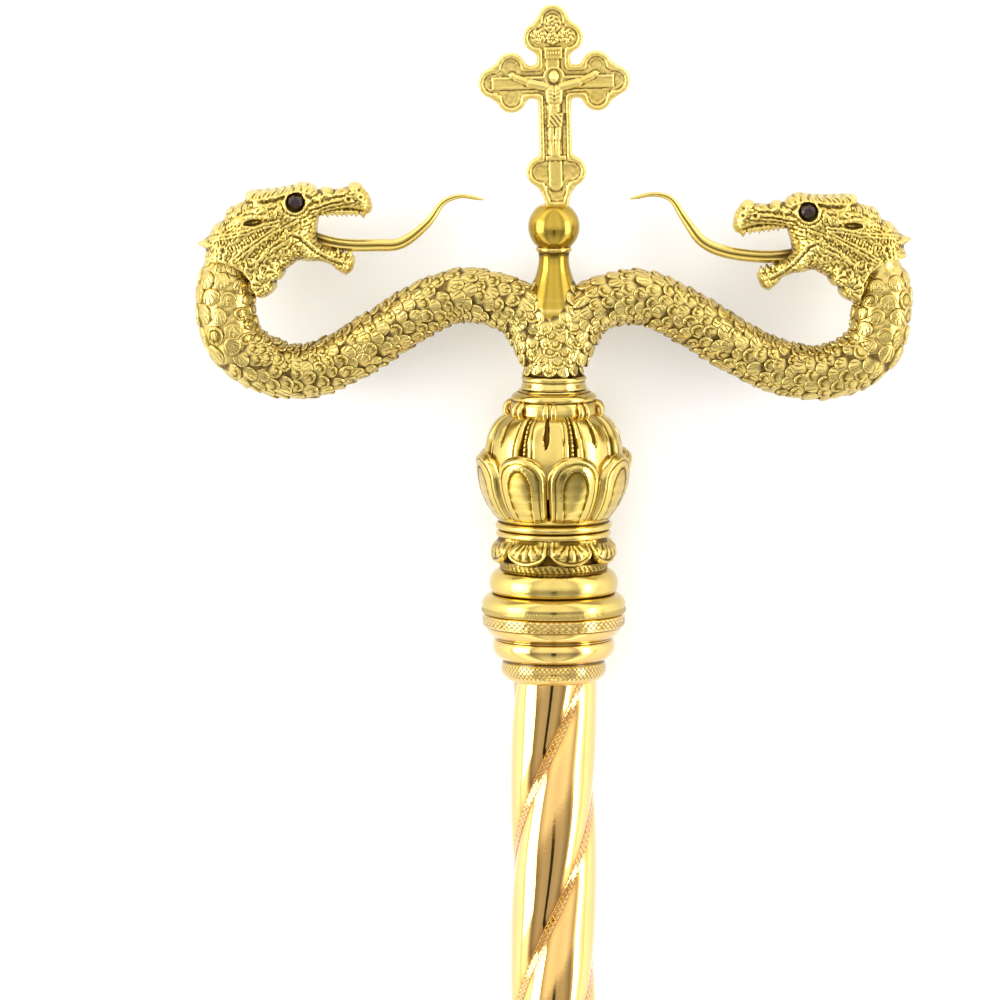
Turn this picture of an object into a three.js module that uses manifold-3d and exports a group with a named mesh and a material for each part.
// A bishop's crosier of the eastern form: a gilt brass staff of four spirally lobed tubes, with a
// petalled knop, two scaled serpents that face each other, and a cross between them.
// The staff lies on its back. Its axis runs along Y, with the foot towards -Y and the cross towards +Y,
// and the face of the cross looks up, towards +Z. All sizes are in millimetres.

import * as THREE from "three";
import { mergeVertices } from "three/addons/utils/BufferGeometryUtils.js";
import Module from "manifold-3d";

// Gaps: between faces that butt together, and round what sits in a socket.
const SEAM = 0.1;
const CLEARANCE = 0.3;

// Staff: tubes with three spiral lobes and a hollow between neighbouring lobes.
const TUBE_COUNT = 4;
const TUBE_SHOWN = 328.3;
const LAST_TUBE_SHOWN = 349.7;
const TUBE_RADIUS = 12.2;
const HOLLOW_RADIUS = 10.9;
const LOBES = 3;
const SPIRAL_PITCH = 146;
const TUBE_STEP_DEG = 48;

// Ferrules, one at each tube end but the last. Two of them back to back make a knob of the staff.
const FERRULE_LENGTH = 19.3;
const FERRULE_RADIUS = 19.95;
const FERRULE_SOCKET = 13;

// Foot.
const FOOT_LENGTH = 115.7;
const FOOT_SOCKET = 9;
const FOOT_RING_RADIUS = 13.4;
const FOOT_BELL_RADIUS = 10.9;
const FOOT_WAIST_RADIUS = 4.3;
const FOOT_TIP_RADIUS = 6.1;

// Knop: turned rings, a calyx of petals round a lobed bulb, and a collar with scrolls.
const KNOP_LENGTH = 63;
const KNOP_RING_RADIUS = 20.3;
const PETALS = 8;
const PETAL_TURN_DEG = 17;
const PETAL_REACH = 22.1;
const PETAL_THICKNESS = 2;
const PETAL_FOOT_UP = 27;
const PETAL_TIP_UP = 45.9;
const PETAL_NOTCH = 6;
const BULB_RADIUS = 19.2;
const COLLAR_RADIUS = 12.4;
const SCROLL_RADIUS = 2.1;

// Serpents: the trunk they share and the line that each body follows, as distance from the axis and
// height above the knop. The two were bent by hand, so they differ a little.
const TRUNK_HEIGHT = 17;
const TRUNK_RADIUS = 8.3;
const TRUNK_RING_RADIUS = 9.2;
const TRUNK_RING_HEIGHT = 3.4;
const LEFT_SERPENT_LINE = [
  [1.4, 8.5], [9.6, 22], [23.9, 26.3], [32.9, 24.1], [50.8, 13.3],
  [59.8, 8.1], [70, 4.8], [79, 6.2], [88.2, 12.4], [91.5, 22.4], [90.8, 31], [89.2, 37],
];
const RIGHT_SERPENT_LINE = [
  [1.4, 8.5], [9.6, 22], [23.1, 25.8], [32.1, 22.8], [50, 12.3],
  [58.9, 7.6], [71, 4.5], [80.5, 6], [88.6, 11.6], [91.5, 22.4], [91, 31], [89.8, 35.6],
];
const SERPENT_RADIUS = 7.5;
const NECK_RADIUS = 7.9;
const NECK_END_RADIUS = 6.2;
const SCALES_AROUND = 9;
const SCALE_PITCH = 6;
const SCALE_LIFT = 0.6;

// Dragon heads. The frame of a head starts on the neck's end, with u towards the snout, v towards the
// crown and w to either side. Skull and jaw are rows of [u, v, half height, half width] from nape to
// snout, and each point of the crest and the ruff is an angle and a reach from one place.
const LEFT_HEAD_OUT = 89.5;
const RIGHT_HEAD_OUT = 90.5;
const HEAD_UP = 35.8;
const LEFT_NOD_DEG = 0;
const RIGHT_NOD_DEG = 8;
const SKULL = [
  [-3, 7.5, 5.5, 6], [1, 9.5, 8.6, 8.6], [8, 10.4, 10.4, 9.8], [15, 12.2, 9.5, 9.2], [22.6, 13.2, 7.4, 7],
  [24.8, 17.4, 4.4, 5.8], [33, 17.4, 3.5, 4.8], [37.5, 16.4, 3.2, 3.9], [39.2, 15.8, 1.8, 2.2],
];
const JAW = [
  [6, 0.6, 7, 8.4], [14, 2.3, 5.7, 7.6], [21, 3.7, 3.9, 5.8], [27, 1.4, 3, 4.4],
  [31.5, -0.6, 3.6, 3.8], [34.2, 0.6, 1.7, 2.2],
];
const CREST_FROM = [12, 12];
const CREST = [[139, 11], [168, 14.2], [187, 18], [198, 23.4], [210, 22.5], [262, 22.5], [276, 17]];
const TEETH = 4;
const EYE_AT = [17.6, 17, 7.2];
const EYE_RADIUS = 2.5;

// Tongues: the line of each one as distance from the axis and height above the knop.
const TONGUE_RADIUS = 1.7;
const LEFT_TONGUE_LINE = [
  [69, 42.8], [59.8, 40.5], [49.7, 40.2], [42.6, 40.8], [35.1, 46.5], [30.7, 52.2], [26, 53.9], [19.5, 52.9],
];
const RIGHT_TONGUE_LINE = [
  [68, 37.6], [58.9, 37], [47.7, 38.4], [41.4, 41.2], [36.5, 47.5], [32.4, 53.2], [28, 54.4], [21.1, 53.2],
];

// Finial and cross.
const BALL_RADIUS = 7.3;
const BALL_UP = 45.4;
const STEM_RADIUS = 4.2;
const STEM_ROOT_UP = 20;
const CROSS_HEIGHT = 55.9;
const CROSS_WIDTH = 42.3;
const CROSS_BAR = 9.2;
const CROSS_BAR_DOWN = 21.6;
const CROSS_THICKNESS = 3.6;
const CROSS_BUD_RADIUS = 4.2;
const CROSS_RIM = 1.1;
const CROSS_RELIEF = 0.8;
const CROSS_LEAN_DEG = 1.5;

// The staff would roll, so its knobs, its knop and the lowest petal have a flat spot, this deep on a
// knob.
const FLAT_DEPTH = 0.4;

// Sides of a turned piece.
const TURNED_SIDES = 12;

const wasm = await Module();
wasm.setup();
const rad = THREE.MathUtils.degToRad;

// A point at a radius from the axis, an angle from the front and a height.
const around = (radius, angle, y) => new THREE.Vector3(radius * Math.sin(angle), y, radius * Math.cos(angle));

// Heights of the stack, measured along the axis from the end of the foot.
const tubeShown = (n) => (n === 0 ? LAST_TUBE_SHOWN : TUBE_SHOWN);
function tubeFrom(n) {
  let from = FOOT_LENGTH;
  for (let i = 0; i < n; i++) from += tubeShown(i) + 2 * FERRULE_LENGTH;
  return from;
}
const TOP_TUBE = TUBE_COUNT - 1;
const KNOP_FROM = tubeFrom(TOP_TUBE) + tubeShown(TOP_TUBE) + FERRULE_LENGTH;
const SERPENTS_FROM = KNOP_FROM + KNOP_LENGTH;
const CROSS_UP = BALL_UP + Math.sqrt(BALL_RADIUS ** 2 - (CROSS_BUD_RADIUS * 0.9) ** 2);
const CROSS_FROM = SERPENTS_FROM + CROSS_UP + CROSS_HEIGHT - CROSS_BAR_DOWN;
const AXIS_UP = FERRULE_RADIUS - FLAT_DEPTH;

const gilt = (color, roughness) => new THREE.MeshStandardMaterial({ color, roughness, metalness: 1 });
const CAST_GILT = gilt(0xd9b345, 0.34);
const TURNED_GILT = gilt(0xe8c35a, 0.16);
const TUBE_GILT = gilt(0xe6c56a, 0.1);
const GARNET = new THREE.MeshStandardMaterial({ color: 0x2a0606, roughness: 0.08, metalness: 0 });

// A closed body from points and triangles, turned so that its faces point out.
function body(points, triangles) {
  const v = new THREE.Vector3();
  const volume = triangles.reduce(
    (sum, [a, b, c]) => sum + v.crossVectors(points[b], points[c]).dot(points[a]),
    0,
  );
  const order = volume < 0 ? triangles.map(([a, b, c]) => [a, c, b]) : triangles;
  const geometry = new THREE.BufferGeometry().setFromPoints(points);
  return geometry.setIndex(order.flat());
}

// A closed skin over rings of points that each have the same count, with a flat cap at both ends.
// Staggered rings are each turned about half a step from the one before.
function loft(rings, staggered = false) {
  const n = rings[0].length;
  const last = (rings.length - 1) * n;
  const triangles = [];
  for (let k = 0; k + 1 < rings.length; k++)
    for (let i = 0; i < n; i++) {
      const [a, b] = [k * n + i, k * n + ((i + 1) % n)];
      if (staggered) triangles.push([a, b, a + n], [b, b + n, a + n]);
      else triangles.push([a, b, b + n], [a, b + n, a + n]);
    }
  for (let i = 1; i + 1 < n; i++) triangles.push([0, i + 1, i], [last, last + i, last + i + 1]);
  return body(rings.flat(), triangles);
}

// A turned shape: [radius, height] pairs from foot to top.
function turned(profile, sides = TURNED_SIDES) {
  const points = profile.map(([r, y]) => new THREE.Vector2(r, y));
  return new THREE.LatheGeometry(points, sides);
}

function solid(geometry) {
  const plain = geometry.clone();
  plain.deleteAttribute("normal");
  plain.deleteAttribute("uv");
  const merged = mergeVertices(plain, 1e-4);
  const vertProperties = new Float32Array(merged.attributes.position.array);
  const triVerts = new Uint32Array(merged.index.array);
  return new wasm.Manifold(new wasm.Mesh({ numProp: 3, vertProperties, triVerts }));
}

function geometryOf(made) {
  const mesh = made.getMesh();
  const geometry = new THREE.BufferGeometry();
  geometry.setAttribute("position", new THREE.BufferAttribute(mesh.vertProperties, mesh.numProp));
  return geometry.setIndex(new THREE.BufferAttribute(mesh.triVerts, 1));
}

const joined = (geometries) => geometries.map(solid).reduce((a, b) => a.add(b));

// A piece that stands on the staff's axis, with its flat spot cut.
function flattened(made) {
  const size = 4 * PETAL_REACH;
  const floor = new THREE.BoxGeometry(size, 2 * KNOP_LENGTH, size);
  return geometryOf(made.subtract(solid(floor.translate(0, 0, -AXIS_UP - size / 2))));
}

// Tube: a section of lobes with a hollow between them, which turns as it climbs.
function tube(shown, lowSocket) {
  const length = shown + lowSocket + FERRULE_SOCKET - 2 * SEAM;
  const steps = Math.ceil((length / SPIRAL_PITCH) * (360 / TUBE_STEP_DEG));
  const corners = 3 * LOBES;
  const rings = [];
  for (let k = 0; k <= steps; k++) {
    const up = (k / steps) * length;
    const ring = [];
    for (let i = 0; i < corners; i++) {
      const angle = (i / corners + up / SPIRAL_PITCH) * 2 * Math.PI;
      ring.push(around(i % 3 === 0 ? HOLLOW_RADIUS : TUBE_RADIUS, angle, up));
    }
    rings.push(ring);
  }
  return loft(rings, true);
}

// Ferrule: a flange with a milled edge at its foot, a bell, a bead and a small ring round the tube.
const socketRadius = TUBE_RADIUS / Math.cos(Math.PI / TURNED_SIDES) + CLEARANCE;

function ferrule() {
  const top = FERRULE_LENGTH - SEAM;
  const floor = FERRULE_LENGTH - FERRULE_SOCKET;
  return turned([
    [0, SEAM],
    [FERRULE_RADIUS, SEAM],
    [FERRULE_RADIUS, 3.4],
    [FERRULE_RADIUS - 3.1, 7.2],
    [FERRULE_RADIUS - 3.1, 9.8],
    [FERRULE_RADIUS - 4, 12.4],
    [FERRULE_RADIUS - 5.6, 13.7],
    [FERRULE_RADIUS - 5.4, 16.4],
    [FERRULE_RADIUS - 6.5, top],
    [socketRadius, top],
    [socketRadius, floor],
    [0, floor],
  ]);
}

// Foot: a socket with a milled ring, a bead, a bell and a waisted spike.
function foot() {
  return turned([
    [0, 0],
    [FOOT_TIP_RADIUS - 2.2, 0],
    [FOOT_TIP_RADIUS, 5],
    [FOOT_TIP_RADIUS - 1.1, 20],
    [FOOT_TIP_RADIUS - 0.2, 24.8],
    [FOOT_TIP_RADIUS - 1.2, 29],
    [FOOT_WAIST_RADIUS, 51],
    [FOOT_BELL_RADIUS - 5.5, 61],
    [FOOT_BELL_RADIUS - 0.9, 79.5],
    [FOOT_BELL_RADIUS, 86],
    [FOOT_BELL_RADIUS, 89],
    [6.6, 98.7],
    [FOOT_BELL_RADIUS - 0.2, 101.5],
    [FOOT_BELL_RADIUS - 0.6, 107],
    [FOOT_BELL_RADIUS, FOOT_LENGTH - 4.4],
    [FOOT_RING_RADIUS, FOOT_LENGTH - 4],
    [FOOT_RING_RADIUS, FOOT_LENGTH - SEAM],
    [socketRadius, FOOT_LENGTH - SEAM],
    [socketRadius, FOOT_LENGTH - FOOT_SOCKET],
    [0, FOOT_LENGTH - FOOT_SOCKET],
  ]);
}

// Knop. Petal k points along this angle, and the bulb has a channel behind it.
const petalAngle = (k) => rad(PETAL_TURN_DEG) + (k * 2 * Math.PI) / PETALS;

// The cup of petals: its rim rises to a round tip over each petal and drops between two of them.
function calyx() {
  const columns = 3;
  const rows = 3;
  const ringOf = (t, inward) => {
    const ring = [];
    for (let i = 0; i < columns * PETALS; i++) {
      const off = Math.abs((i % columns) / columns - 0.5) * 2;
      const tip = PETAL_TIP_UP - PETAL_NOTCH * off ** 2;
      const radius = THREE.MathUtils.lerp(15.6, PETAL_REACH, Math.sin((t * Math.PI) / 2) ** 0.8);
      const angle = petalAngle(i / columns - 0.5);
      ring.push(around(radius - 0.8 * off - inward, angle, THREE.MathUtils.lerp(PETAL_FOOT_UP, tip, t)));
    }
    return ring;
  };
  const rings = [];
  for (let k = 0; k <= rows; k++) rings.push(ringOf(k / rows, 0));
  rings.push(ringOf(1, PETAL_THICKNESS), ringOf(0.7, BULB_RADIUS / 3));
  return loft(rings);
}

// The bulb inside the petals, with a channel behind each of them.
function bulb() {
  const perPetal = 2;
  const rows = 4;
  const rings = [];
  for (let k = 0; k <= rows; k++) {
    const t = k / rows;
    const y = THREE.MathUtils.lerp(PETAL_FOOT_UP, KNOP_LENGTH - 5.8, t);
    const round = Math.sqrt(1 - ((t - 0.52) / 0.72) ** 2);
    const ring = [];
    for (let i = 0; i < perPetal * PETALS; i++)
      ring.push(around(BULB_RADIUS * round - (i % perPetal ? 0 : 1.4), petalAngle(i / perPetal), y));
    rings.push(ring);
  }
  return loft(rings);
}

function knop() {
  const base = turned([
    [0, SEAM],
    [KNOP_RING_RADIUS - 0.3, SEAM],
    [KNOP_RING_RADIUS, 2.4],
    [KNOP_RING_RADIUS - 2.6, 5.6],
    [KNOP_RING_RADIUS - 2.4, 8.2],
    [KNOP_RING_RADIUS - 3.2, 11.6],
    [KNOP_RING_RADIUS - 5.4, 12.8],
    [KNOP_RING_RADIUS - 5, 15.2],
    [KNOP_RING_RADIUS - 2.9, 19.2],
    [KNOP_RING_RADIUS - 4.6, 21.6],
    [KNOP_RING_RADIUS - 4, 25],
    [KNOP_RING_RADIUS - 4.8, PETAL_FOOT_UP + 0.6],
    [0, PETAL_FOOT_UP + 0.6],
  ], 1.25 * TURNED_SIDES);
  const collar = turned([
    [0, KNOP_LENGTH - 8],
    [COLLAR_RADIUS, KNOP_LENGTH - 6.6],
    [COLLAR_RADIUS, KNOP_LENGTH - 2],
    [COLLAR_RADIUS - 2, KNOP_LENGTH - SEAM],
    [0, KNOP_LENGTH - SEAM],
  ]);
  const scrolls = [];
  for (let k = 0; k < PETALS; k++) {
    const scroll = new THREE.CylinderGeometry(SCROLL_RADIUS, SCROLL_RADIUS, 5, 4);
    const at = around(COLLAR_RADIUS - 0.6, petalAngle(k + 0.5), KNOP_LENGTH - 4.6);
    scrolls.push(scroll.rotateZ(Math.PI / 2).rotateY(petalAngle(k + 0.5)).translate(...at));
  }
  return flattened(joined([base, calyx(), bulb(), collar, ...scrolls]));
}

// Serpents. A line's points lie in the plane of the staff's axis, to one side of it.
const plane = ([out, up], side) => new THREE.Vector3(side * out, up, 0);

// Rings along a line, a raised one at each row of scale tips and a sunken one behind it.
function scaledRings(line, radiusAt) {
  const rows = Math.round(line.getLength() / SCALE_PITCH);
  const rings = [];
  const ringAt = (u, turn, lift) => {
    const centre = line.getPointAt(u);
    const along = line.getTangentAt(u);
    const across = new THREE.Vector3(-along.y, along.x, 0);
    const ring = [];
    for (let i = 0; i < SCALES_AROUND; i++) {
      const angle = ((i + turn) / SCALES_AROUND) * 2 * Math.PI;
      const off = across.clone().multiplyScalar(Math.cos(angle)).setZ(Math.sin(angle));
      ring.push(centre.clone().addScaledVector(off, radiusAt(u) + lift));
    }
    return ring;
  };
  for (let k = 0; k < rows; k++) {
    rings.push(ringAt(k / rows, k / 2, SCALE_LIFT));
    rings.push(ringAt((k + 0.75) / rows, k / 2 + 0.5, -SCALE_LIFT / 2));
  }
  return rings;
}

function handLine(points, side) {
  return new THREE.CatmullRomCurve3(points.map((point) => plane(point, side)), false, "centripetal");
}

const serpentLine = (side) => handLine(side < 0 ? LEFT_SERPENT_LINE : RIGHT_SERPENT_LINE, side);
function serpentRadius(u) {
  const neck = THREE.MathUtils.lerp(SERPENT_RADIUS, NECK_RADIUS, THREE.MathUtils.smoothstep(u, 0.5, 0.9));
  return THREE.MathUtils.lerp(neck, NECK_END_RADIUS, THREE.MathUtils.smoothstep(u, 0.94, 0.99));
}

function serpents() {
  const [low, high] = [TRUNK_RING_HEIGHT, TRUNK_HEIGHT].map((y) => new THREE.Vector3(0, y, 0));
  const trunkLine = new THREE.LineCurve3(low, high);
  const trunk = loft(scaledRings(trunkLine, () => TRUNK_RADIUS), true);
  const ring = turned([
    [0, 0],
    [TRUNK_RING_RADIUS, 0],
    [TRUNK_RING_RADIUS - 0.5, TRUNK_RING_HEIGHT / 2],
    [TRUNK_RING_RADIUS, TRUNK_RING_HEIGHT],
    [TRUNK_RADIUS - 1, TRUNK_RING_HEIGHT + 0.6],
    [0, TRUNK_RING_HEIGHT + 0.6],
  ]);
  const arms = [-1, 1].map((side) => loft(scaledRings(serpentLine(side), serpentRadius), true));
  return geometryOf(joined([trunk, ring, ...arms]).subtract(solid(finialShape(CLEARANCE))));
}

// Finial: a ball on a stem whose root is let into the trunk.
function finialShape(grow) {
  const top = Math.sqrt(BALL_RADIUS ** 2 - (CROSS_BUD_RADIUS * 0.9) ** 2);
  const profile = [
    [0, STEM_ROOT_UP - grow],
    [STEM_RADIUS + 0.8 + grow, STEM_ROOT_UP - grow],
    [STEM_RADIUS + 0.8 + grow, 33.5],
    [STEM_RADIUS + grow, 36],
    [STEM_RADIUS + grow, 38.4],
    [STEM_RADIUS + 0.8 + grow, 39.6],
  ];
  const rows = 5;
  for (let k = 0; k <= rows; k++) {
    const y = THREE.MathUtils.lerp(-0.75 * BALL_RADIUS, top - SEAM, k / rows);
    profile.push([Math.sqrt(BALL_RADIUS ** 2 - y ** 2) + grow, BALL_UP + y]);
  }
  profile.push([0, BALL_UP + top - SEAM]);
  return turned(profile);
}

// A place of a head in the frame of the serpents.
function headPlace(side, [u, v, w]) {
  const nod = rad(side < 0 ? LEFT_NOD_DEG : RIGHT_NOD_DEG);
  const forward = u * Math.cos(nod) + v * Math.sin(nod);
  const up = v * Math.cos(nod) - u * Math.sin(nod);
  const out = side < 0 ? LEFT_HEAD_OUT : RIGHT_HEAD_OUT;
  return new THREE.Vector3(side * (out - forward), HEAD_UP + up, w);
}

// A form of the head through rows of upright ovals.
function headForm(side, stations, sides = 8) {
  return loft(stations.map(([u, v, high, wide]) => {
    const ring = [];
    for (let i = 0; i < sides; i++) {
      const angle = ((i + 0.5) / sides) * 2 * Math.PI;
      ring.push(headPlace(side, [u, v + high * Math.sin(angle), wide * Math.cos(angle)]));
    }
    return ring;
  }));
}

// A pointed form from a root to a tip, oval at both ends.
function headSpike(side, root, tip, rootSize, tipSize, sides = 4) {
  const [ru, rv, rw] = root;
  const [tu, tv, tw] = tip;
  const across = new THREE.Vector2(-(tv - rv), tu - ru).normalize();
  const ringAt = ([u, v, w], [high, wide]) => {
    const ring = [];
    for (let i = 0; i < sides; i++) {
      const angle = (i / sides) * 2 * Math.PI;
      const off = high * Math.cos(angle);
      ring.push(headPlace(side, [u + across.x * off, v + across.y * off, w + wide * Math.sin(angle)]));
    }
    return ring;
  };
  return loft([ringAt([ru, rv, rw], rootSize), ringAt([tu, tv, tw], tipSize)]);
}

function headTeeth(side) {
  const teeth = [];
  for (const w of [-1, 1])
    for (let k = 0; k < TEETH; k++) {
      const u = 27 + 3.2 * k;
      const root = [u, 16, w * (3.8 - 0.45 * k)];
      teeth.push(headSpike(side, root, [u, 11.8, root[2]], [1.4, 1], [0.2, 0.2], 3));
    }
  return teeth;
}

function headSolid(side) {
  const forms = [headForm(side, SKULL), headForm(side, JAW)];
  for (const [degrees, reach] of CREST) {
    const [u, v] = CREST_FROM;
    const tip = [u + reach * Math.cos(rad(degrees)), v + reach * Math.sin(rad(degrees)), 0];
    forms.push(headSpike(side, [u, v, 0], tip, [5, 9.6], [0.5, 5.5]));
  }
  forms.push(headSpike(side, [0.2, -1.4, 0], [4, 9, 0], [9.2, 9.4], [7, 8.5], 8));
  for (const w of [-1, 1]) {
    forms.push(headSpike(side, [12, 19, w * 5.6], [22.5, 20.4, w * 4.8], [1.8, 2], [1.8, 1.6]));
    forms.push(headSpike(side, [31.5, 20, w * 2.6], [35, 20.4, w * 2.6], [1, 1.4], [2, 1.8]));
  }
  return joined([...forms, ...headTeeth(side)]);
}

// An eye stone on one face of a head, a flattened ball.
function eyeShape(side, face, grow) {
  const [u, v, w] = EYE_AT;
  const stone = new THREE.SphereGeometry(EYE_RADIUS + grow, 6, 4).rotateX(Math.PI / 2).scale(1, 1, 0.7);
  return stone.translate(...headPlace(side, [u, v, face * w]));
}

// The socket that the neck's end sits in.
function neckSocket(side) {
  const line = serpentLine(side);
  const rings = [];
  const rows = 4;
  for (let k = 0; k <= rows; k++) {
    const u = THREE.MathUtils.lerp(0.86, 1, k / rows);
    const centre = line.getPointAt(u);
    const along = line.getTangentAt(u);
    if (k === rows) centre.addScaledVector(along, CLEARANCE);
    const ring = [];
    for (let i = 0; i < TURNED_SIDES; i++) {
      const angle = (i / TURNED_SIDES) * 2 * Math.PI;
      const reach = (serpentRadius(u) + SCALE_LIFT + CLEARANCE) / Math.cos(Math.PI / TURNED_SIDES);
      const across = new THREE.Vector3(-along.y, along.x, 0).multiplyScalar(reach * Math.cos(angle));
      ring.push(centre.clone().add(across.setZ(reach * Math.sin(angle))));
    }
    rings.push(ring);
  }
  return loft(rings);
}

function dragonHead(side) {
  const hollows = [neckSocket(side), tongueShape(side, CLEARANCE)];
  for (const face of [-1, 1]) hollows.push(eyeShape(side, face, CLEARANCE));
  return geometryOf(hollows.map(solid).reduce((head, hollow) => head.subtract(hollow), headSolid(side)));
}

function tongueShape(side, grow) {
  const line = handLine(side < 0 ? LEFT_TONGUE_LINE : RIGHT_TONGUE_LINE, side);
  const steps = 13;
  const rings = [];
  for (let k = 0; k <= steps; k++) {
    const u = k / steps;
    const centre = line.getPointAt(u);
    const along = line.getTangentAt(u);
    const thick = TONGUE_RADIUS * THREE.MathUtils.lerp(1, 0.3, THREE.MathUtils.smoothstep(u, 0.35, 1)) + grow;
    const ring = [];
    for (let i = 0; i < 5; i++) {
      const angle = (i / 5) * 2 * Math.PI;
      const across = new THREE.Vector3(-along.y, along.x, 0).multiplyScalar(thick * Math.cos(angle));
      ring.push(centre.clone().add(across.setZ(1.2 * thick * Math.sin(angle))));
    }
    rings.push(ring);
  }
  return loft(rings);
}

// Cross. Its outline, drawn smaller by an inset, has three round buds at the end of each arm.
function crossOutline(inset) {
  const bar = CROSS_BAR / 2 - inset;
  const bud = CROSS_BUD_RADIUS - inset;
  const shape = [];
  const reaches = [CROSS_BAR_DOWN, CROSS_WIDTH / 2, CROSS_HEIGHT - CROSS_BAR_DOWN, CROSS_WIDTH / 2];
  for (const [quarter, reach] of reaches.entries()) {
    const end = reach - CROSS_BUD_RADIUS;
    const shoulder = end - 1.2 * CROSS_BUD_RADIUS;
    const buds = [
      [-CROSS_BUD_RADIUS, shoulder, -180, 12],
      [0, end, -68, 68],
      [CROSS_BUD_RADIUS, shoulder, -12, 180],
    ];
    const turn = new THREE.Matrix4().makeRotationZ((-quarter * Math.PI) / 2);
    const put = (x, y) => shape.push(new THREE.Vector3(x, y, 0).applyMatrix4(turn));
    put(-bar, bar);
    for (const [x, y, from, to] of buds)
      for (let k = 0; k <= 3; k++) {
        const angle = rad(THREE.MathUtils.lerp(from, to, k / 3));
        put(x + bud * Math.sin(angle), y + bud * Math.cos(angle));
      }
  }
  return shape.map(({ x, y }) => new THREE.Vector2(x, y));
}

function crossPlate(inset, low, high) {
  const plate = new THREE.ExtrudeGeometry(new THREE.Shape(crossOutline(inset)), {
    depth: high - low,
    bevelEnabled: false,
  });
  return plate.translate(0, 0, low);
}

// The figure on the face of the cross: head, arms, body, legs and the block under the feet.
function crossFigure() {
  const low = CROSS_THICKNESS / 2 - CROSS_RELIEF;
  const limb = (x0, y0, x1, y1, wide) => {
    const length = Math.hypot(x1 - x0, y1 - y0);
    const shape = new THREE.CylinderGeometry(wide * 0.7, wide, length, 6);
    shape.rotateZ(Math.atan2(x0 - x1, y1 - y0));
    return shape.translate((x0 + x1) / 2, (y0 + y1) / 2, low);
  };
  return joined([
    new THREE.SphereGeometry(1.8, 6, 4).translate(0, 1.6, low),
    limb(0, -1.5, 0, -11, 1.9),
    limb(-1, -1.6, -11, 1.6, 1),
    limb(1, -1.6, 11, 1.6, 1),
    limb(0.4, -21, 0, -10, 1.5),
    new THREE.BoxGeometry(6, 1.2, 1.6).translate(0, -21.2, low),
  ]);
}

function cross() {
  const half = CROSS_THICKNESS / 2;
  const panel = solid(crossPlate(CROSS_RIM, half - CROSS_RELIEF, half + 1));
  return geometryOf(solid(crossPlate(0, -half, half)).subtract(panel).add(crossFigure()));
}

// The whole, stacked along the axis.
const crosier = new THREE.Group();
crosier.name = "crosier";

function place(name, geometry, material, from = 0) {
  const mesh = new THREE.Mesh(geometry, material);
  mesh.name = name;
  mesh.position.y = from;
  crosier.add(mesh);
  return mesh;
}

place("foot", foot(), TURNED_GILT);
for (let n = 0; n < TUBE_COUNT; n++) {
  const number = TUBE_COUNT - n;
  const from = tubeFrom(n);
  const to = from + tubeShown(n) + FERRULE_LENGTH;
  const socket = n === 0 ? FOOT_SOCKET : FERRULE_SOCKET;
  place(`tube_${number}`, tube(tubeShown(n), socket), TUBE_GILT, from - socket + SEAM);
  place(`ferrule_${number}_upper`, flattened(solid(ferrule().rotateX(Math.PI))), TURNED_GILT, to);
  if (n === 0) continue;
  place(`ferrule_${number}_lower`, flattened(solid(ferrule())), TURNED_GILT, from - FERRULE_LENGTH);
}
place("knop", knop(), CAST_GILT, KNOP_FROM);
place("serpents", serpents(), CAST_GILT, SERPENTS_FROM);
for (const [name, side] of [["left", -1], ["right", 1]]) {
  place(`${name}_dragon_head`, dragonHead(side), CAST_GILT, SERPENTS_FROM);
  place(`${name}_tongue`, tongueShape(side, 0), CAST_GILT, SERPENTS_FROM);
  place(`${name}_eye_front`, eyeShape(side, 1, 0), GARNET, SERPENTS_FROM);
  place(`${name}_eye_back`, eyeShape(side, -1, 0), GARNET, SERPENTS_FROM);
}
place("finial", finialShape(0), CAST_GILT, SERPENTS_FROM);
const topCross = place("cross", cross(), CAST_GILT, CROSS_FROM);
topCross.rotation.z = rad(CROSS_LEAN_DEG);

// The origin is on the floor, under the middle of the staff.
const middle = new THREE.Box3().setFromObject(crosier).getCenter(new THREE.Vector3());
crosier.position.set(-middle.x, -middle.y, AXIS_UP);

export default crosier;
